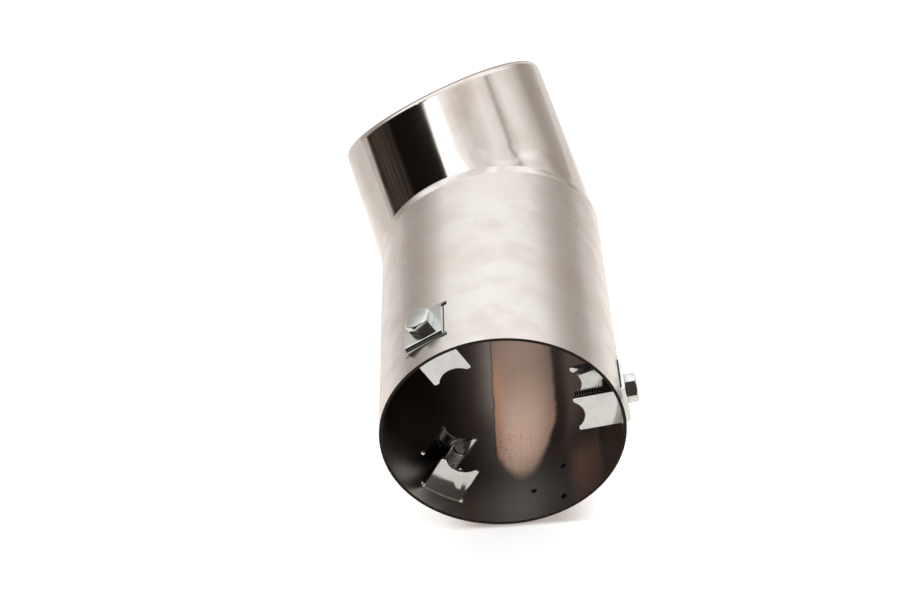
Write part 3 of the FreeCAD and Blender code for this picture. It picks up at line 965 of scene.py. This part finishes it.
@dataclass(frozen=True)
class TableTop:
    """Matt white table, lifted to plain white for the camera, and less for metal that mirrors it from afar.

    Right under the inlet sleeve, where the tip touches it, it isn't lifted, so the thin shadow there stays.
    """

    name: str = "matt_white_table"
    colour: str = "#F2F1F0"
    lift: float = 0.65
    touched: tuple[Fade, ...] = (
        Fade("y", -1.6 * MM, 0.2 * MM), Fade("y", 110.0 * MM, 80.0 * MM),
        Fade("x", -24.0 * MM, -6.0 * MM), Fade("x", 32.0 * MM, 14.0 * MM))
    touched_strength: float = 0.8
    # How far from under the tip, and how strong the lift is that metal mirrors there.
    mirrored_near: tuple[float, float] = (90.0 * MM, 0.5)
    mirrored_far: tuple[float, float] = (210.0 * MM, 0.15)
    mirrored_tone: str = "#FFF1E8"
    under_tip: Vector = field(default_factory=lambda: Vector((0.0, 75.0, -38.3)) * MM)

    def material(self) -> bpy.types.Material:
        """Build the material.

        Returns:
            The material.
        """
        material, tree = new_material(self.name)
        paint = add_node(tree, "ShaderNodeBsdfDiffuse", sockets={"Color": linear(self.colour)})
        rays = add_node(tree, "ShaderNodeLightPath").outputs
        place = add_node(tree, "ShaderNodeTexCoord").outputs["Object"]
        away = add_node(tree, "ShaderNodeVectorMath", DISTANCE, {0: place, 1: self.under_tip})
        near, near_lift = self.mirrored_near
        far, far_lift = self.mirrored_far
        fading = add_node(
            tree, "ShaderNodeMapRange", SMOOTH, {
                "Value": away.outputs["Value"], "From Min": near, "From Max": far,
                "To Min": near_lift, "To Max": far_lift})
        mirrored = add_node(
            tree, "ShaderNodeMath", MULTIPLY, {0: rays["Is Glossy Ray"], 1: fading.outputs[0]})
        split = add_node(tree, "ShaderNodeSeparateXYZ", sockets={0: place}).outputs
        unlifted = covered(tree, {"x": split[0], "y": split[1]}, self.touched, self.touched_strength)
        seen_lift = add_node(
            tree, "ShaderNodeMath", MULTIPLY_ADD, {0: unlifted, 1: -self.lift, 2: self.lift})
        lift = add_node(
            tree, "ShaderNodeMath", MULTIPLY_ADD,
            {0: rays["Is Camera Ray"], 1: seen_lift.outputs[0], 2: mirrored.outputs[0]})
        tone = add_node(
            tree, "ShaderNodeMix", COLOURS,
            {0: rays["Is Camera Ray"], 6: linear(self.mirrored_tone), 7: linear(WHITE)})
        glow = add_node(
            tree, "ShaderNodeEmission", sockets={"Color": tone.outputs[2], "Strength": lift.outputs[0]})
        joined = add_node(tree, "ShaderNodeAddShader", sockets={0: paint.outputs[0], 1: glow.outputs[0]})
        add_node(tree, "ShaderNodeOutputMaterial", sockets={"Surface": joined.outputs[0]})
        return material


# The heights between which the room is painted, in degrees above the horizon.
ROOM_LOWEST = -30.0
ROOM_HIGHEST = 90.0
# How much green there is for each red, and blue for each green: least in the dark, most in the pale.
DARK_BELOW = 0.3
DARK_TONE = 0.8
PALE_TONE = 0.86
PALE_GAIN = 0.11


@dataclass(frozen=True)
class RoomSide:
    """One side of the room: where it stands round the tip, and how bright it is at each height.

    The way it faces is in degrees from straight ahead, positive to the right, and its levels are angles
    above the horizon, each with a brightness.
    """

    facing: float
    half_width: float
    fade: float
    levels: tuple[tuple[float, float], ...]

    def lay(self, tree: Tree, under: Any, flat_way: Socket, height: Socket) -> Socket:
        """Lay the side over what is behind it.

        Args:
            tree: The world's tree.
            under: The colour behind it.
            flat_way: The level part of the way looked, of length 1.
            height: 0 at the room's lowest height and 1 at its highest.

        Returns:
            The room's colour with this side.
        """
        turn = math.radians(self.facing)
        match = add_node(
            tree, "ShaderNodeVectorMath", DOT_PRODUCT,
            {0: flat_way, 1: (math.sin(turn), math.cos(turn), 0.0)})
        share = add_node(
            tree, "ShaderNodeMapRange", SMOOTH, {
                "Value": match.outputs["Value"],
                "From Min": math.cos(math.radians(self.half_width + self.fade)),
                "From Max": math.cos(math.radians(self.half_width))})
        ramp = add_node(tree, "ShaderNodeValToRGB", sockets={0: height})
        stops = ramp.color_ramp.elements
        while len(stops) < len(self.levels):
            stops.new(1.0)
        for stop, (angle, level) in zip(stops, self.levels):
            tone = min(PALE_TONE + PALE_GAIN * level, 1.0) if level > DARK_BELOW else DARK_TONE
            stop.position = (angle - ROOM_LOWEST) / (ROOM_HIGHEST - ROOM_LOWEST)
            stop.color = (level, level * tone, level * tone * tone, 1.0)
        mixed = add_node(
            tree, "ShaderNodeMix", COLOURS, {0: share.outputs[0], 6: under, 7: ramp.outputs[0]})
        return mixed.outputs[2]


ROOM_SIDES = (
    # The pale room all round, grey near the horizon.
    RoomSide(0.0, 170.0, 10.0, (
        (-30.0, 1.0), (-8.0, 0.6), (0.0, 0.5), (11.0, 0.5), (19.0, 0.76), (26.0, 1.3), (36.0, 1.48),
        (60.0, 1.35), (75.0, 1.15), (84.0, 1.0), (90.0, 1.05))),
    # Straight ahead, pale down to the table.
    RoomSide(0.0, 18.0, 12.0, (
        (-30.0, 1.0), (-8.0, 0.95), (10.0, 0.95), (30.0, 1.25), (36.0, 1.48), (60.0, 1.35), (75.0, 1.15),
        (84.0, 1.0), (90.0, 1.05))),
    # The right, grey with one darker band high up.
    RoomSide(85.0, 32.0, 8.0, (
        (-30.0, 1.0), (-6.0, 0.75), (2.0, 0.62), (10.0, 0.58), (20.0, 0.8), (27.0, 1.0), (33.0, 1.15),
        (41.0, 1.2), (47.0, 0.95), (51.0, 0.55), (55.0, 1.1), (66.0, 1.2), (75.0, 0.98), (84.0, 0.92),
        (90.0, 1.1))),
    # The left, dark with thin grey lines, under a bright top.
    RoomSide(-96.0, 24.0, 10.0, (
        (-30.0, 0.9), (-4.0, 0.72), (-2.5, 0.05), (2.0, 0.03), (4.0, 0.1), (6.0, 0.03), (8.0, 0.11),
        (10.0, 0.04), (12.0, 0.1), (14.0, 0.03), (17.0, 0.09), (19.0, 0.02), (22.0, 0.06), (26.0, 0.008),
        (45.0, 0.01), (59.0, 0.015), (61.0, 0.06), (63.0, 0.02), (65.0, 1.5), (75.0, 1.55), (81.0, 1.3),
        (90.0, 1.05))),
    # Behind the camera, dark under a pale top.
    RoomSide(180.0, 50.0, 12.0, (
        (-30.0, 0.8), (-10.0, 0.5), (-2.0, 0.12), (10.0, 0.07), (45.0, 0.07), (56.0, 0.3), (64.0, 1.1),
        (90.0, 1.05))),
)


@dataclass
class Studio:
    """The white table, the room, which is dark on the left and behind the camera, a lamp and the camera."""

    floor_level: float = -38.3 * MM
    floor_size: float = 0.84
    sensor_width: float = 36.0
    lens: float = 70.43
    clip: tuple[float, float] = (0.01, 50.0)
    camera_place: Vector = field(default_factory=lambda: Vector((7.089, -412.466, 368.071)) * MM)
    camera_turn: tuple[float, float, float] = (52.3195, 4.4990, -1.2066)
    lamp_place: Vector = field(default_factory=lambda: Vector((-0.404, -0.071, 1.128)))
    lamp_size: float = 0.3
    lamp_power: float = 0.5

    def build(self) -> None:
        """Build the stage, the light and the camera."""
        self.build_floor()
        self.build_room()
        self.build_lamp()
        self.build_camera()

    def build_floor(self) -> None:
        """Lay the table under the tip."""
        mesh = bmesh.new()
        bmesh.ops.create_grid(mesh, x_segments=1, y_segments=1, size=self.floor_size / 2.0)
        bmesh.ops.translate(mesh, verts=mesh.verts, vec=(0.0, 0.0, self.floor_level))
        data = bpy.data.meshes.new("white_table")
        mesh.to_mesh(data)
        mesh.free()
        data.materials.append(TableTop().material())
        floor = bpy.data.objects.new("white_table", data)
        bpy.context.scene.collection.objects.link(floor)

    def build_room(self) -> None:
        """Light the room: pale above, grey near the horizon, and dark on the left and behind the camera."""
        world = bpy.data.worlds.new("white_room")
        bpy.context.scene.world = world
        world.use_nodes = True
        tree = world.node_tree
        tree.nodes.clear()
        way = add_node(tree, "ShaderNodeTexCoord").outputs["Generated"]
        split = add_node(tree, "ShaderNodeSeparateXYZ", sockets={0: way}).outputs
        flat = add_node(tree, "ShaderNodeCombineXYZ", sockets={0: split[0], 1: split[1]})
        flat_way = add_node(tree, "ShaderNodeVectorMath", {"operation": "NORMALIZE"}, {0: flat.outputs[0]})
        rise = add_node(tree, "ShaderNodeMath", {"operation": "ARCSINE"}, {0: split[2]})
        height = add_node(
            tree, "ShaderNodeMapRange", sockets={
                "Value": rise.outputs[0],
                "From Min": math.radians(ROOM_LOWEST), "From Max": math.radians(ROOM_HIGHEST)})
        colour: Any = linear(WHITE)
        for side in ROOM_SIDES:
            colour = side.lay(tree, colour, flat_way.outputs[0], height.outputs[0])
        seen = add_node(tree, "ShaderNodeLightPath").outputs["Is Camera Ray"]
        mixed = add_node(tree, "ShaderNodeMix", COLOURS, {0: seen, 6: colour, 7: linear(WHITE)})
        background = add_node(tree, "ShaderNodeBackground", sockets={"Color": mixed.outputs[2]})
        add_node(tree, "ShaderNodeOutputWorld", sockets={"Surface": background.outputs[0]})

    def build_lamp(self) -> None:
        """Hang the soft lamp above the left side."""
        light = bpy.data.lights.new("soft_lamp", "AREA")
        light.shape = "SQUARE"
        light.size = self.lamp_size
        light.energy = self.lamp_power
        lamp = bpy.data.objects.new("soft_lamp", light)
        lamp.location = self.lamp_place
        lamp.rotation_euler = (-self.lamp_place).to_track_quat("-Z", "Y").to_euler()
        bpy.context.scene.collection.objects.link(lamp)

    def build_camera(self) -> None:
        """Put the camera where the photograph was taken from."""
        data = bpy.data.cameras.new("camera")
        data.sensor_width = self.sensor_width
        data.lens = self.lens
        data.clip_start, data.clip_end = self.clip
        camera = bpy.data.objects.new("camera", data)
        camera.location = self.camera_place
        camera.rotation_euler = Euler([math.radians(angle) for angle in self.camera_turn], "XYZ")
        bpy.context.scene.collection.objects.link(camera)
        bpy.context.scene.camera = camera
        bpy.context.scene.view_settings.view_transform = "Standard"


def main() -> None:
    """Build the tip's pieces and the studio."""
    logging.basicConfig(level=logging.INFO, format="%(name)s: %(message)s")
    Sleeves().build()
    plating = BrightZinc().material()
    lit_flank = LIT_FLANK_ZINC.material()
    root = ROOT_ZINC.material()
    nut = DARKER_NUT.material()
    for place in ClampPlace:
        BoltOnClamp(place, plating, lit_flank, root, nut).build()
    Studio().build()


if __name__ == "__main__":
    main()
